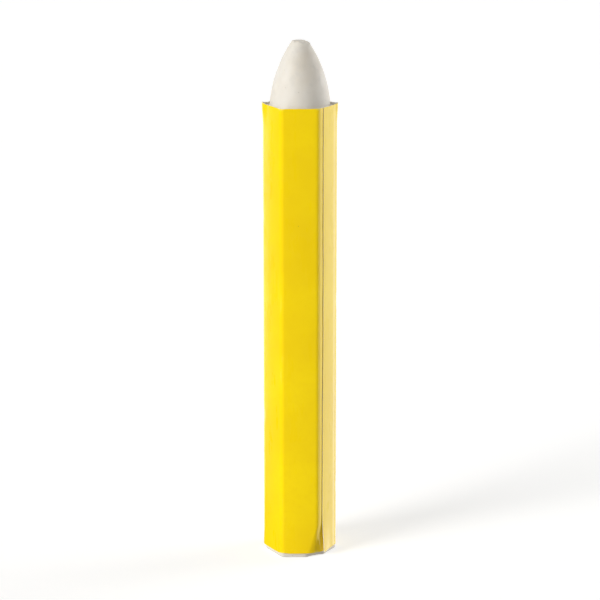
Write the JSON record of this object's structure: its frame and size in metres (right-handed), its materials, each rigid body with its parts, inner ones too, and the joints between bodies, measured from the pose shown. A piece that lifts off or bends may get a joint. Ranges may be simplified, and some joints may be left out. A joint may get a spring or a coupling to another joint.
{
  "type": "marking crayon",
  "caption": "Hexagonal wax-chalk marking crayon with a bullet-shaped tip, in a glued paper sleeve that slides on the core.",
  "frame": {"origin": "middle of the core's tail face, on which the stick stands", "axes": "+Z along the stick towards its tip; -Y is the outward normal of the facet beside the seam's free edge"},
  "size_m": [0.0162, 0.0142, 0.1141],
  "materials": {
    "wax_chalk": "matte",
    "label_paper": "gloss coated",
    "dried_paste": "dried paste"
  },
  "bodies": {
    "sleeve": {"paper_wrapper": "label_paper", "seam_paste": "dried_paste"},
    "core": {"marking_core": "wax_chalk"}
  },
  "joints": [
    {"name": "core_feed", "type": "slide", "parent": "sleeve", "child": "core", "axis": [0, 0, 1], "range_m": [0, 0.06]}
  ]
}
